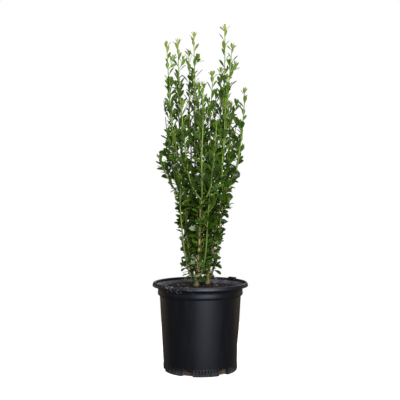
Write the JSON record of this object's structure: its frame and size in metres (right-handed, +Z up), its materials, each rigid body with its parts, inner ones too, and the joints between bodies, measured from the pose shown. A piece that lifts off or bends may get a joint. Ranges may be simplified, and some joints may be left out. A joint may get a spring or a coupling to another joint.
{
  "type": "potted japanese holly",
  "caption": "Narrow upright Japanese holly shrub with many leafy stems, standing in a round black nursery pot filled with potting mix.",
  "frame": {"origin": "on the ground under the middle of the pot", "axes": "+Z up along the plant's height, -Y to the front, +X to the right seen from the front"},
  "size_m": [0.236, 0.236, 0.8558],
  "materials": {
    "black_plastic": "satin moulded black plastic, a little scuffed",
    "potting_mix": "damp dark bark mix",
    "bark": "thin smooth bark, tan to grey with green on the younger wood",
    "leaves": "small glossy evergreen leaves, paler under"
  },
  "bodies": {
    "root": {"pot": "black_plastic", "potting_mix": "potting_mix", "stem_left": "bark", "stem_right": "bark", "bough_left_outer": "bark", "bough_left_inner": "bark", "bough_centre": "bark", "bough_upright": "bark", "bough_front": "bark", "bough_back_left": "bark", "bough_right_inner": "bark", "bough_right_outer": "bark", "bough_back_right": "bark", "foliage_left_high": "leaves", "foliage_left_edge": "leaves", "foliage_left_low": "leaves", "foliage_left_tall": "leaves", "foliage_centre_tall": "leaves", "foliage_centre_left": "leaves", "foliage_right_tall": "leaves", "foliage_right_high": "leaves", "foliage_centre_front": "leaves", "foliage_centre_right": "leaves", "foliage_centre_back": "leaves", "foliage_middle": "leaves", "foliage_right_middle": "leaves", "foliage_right_back": "leaves", "foliage_right_edge": "leaves", "foliage_right_low": "leaves", "foliage_right_front": "leaves", "foliage_front_left": "leaves", "foliage_front_middle": "leaves", "foliage_front_right": "leaves", "foliage_back_left_edge": "leaves", "foliage_back_left_high": "leaves", "foliage_back_middle_left": "leaves", "foliage_back_middle": "leaves", "foliage_back_right_high": "leaves", "foliage_back_right_edge": "leaves", "foliage_base_left": "leaves", "foliage_base_front": "leaves", "foliage_base_back_left": "leaves", "foliage_base_right": "leaves", "foliage_base_back": "leaves"}
  },
  "joints": []
}
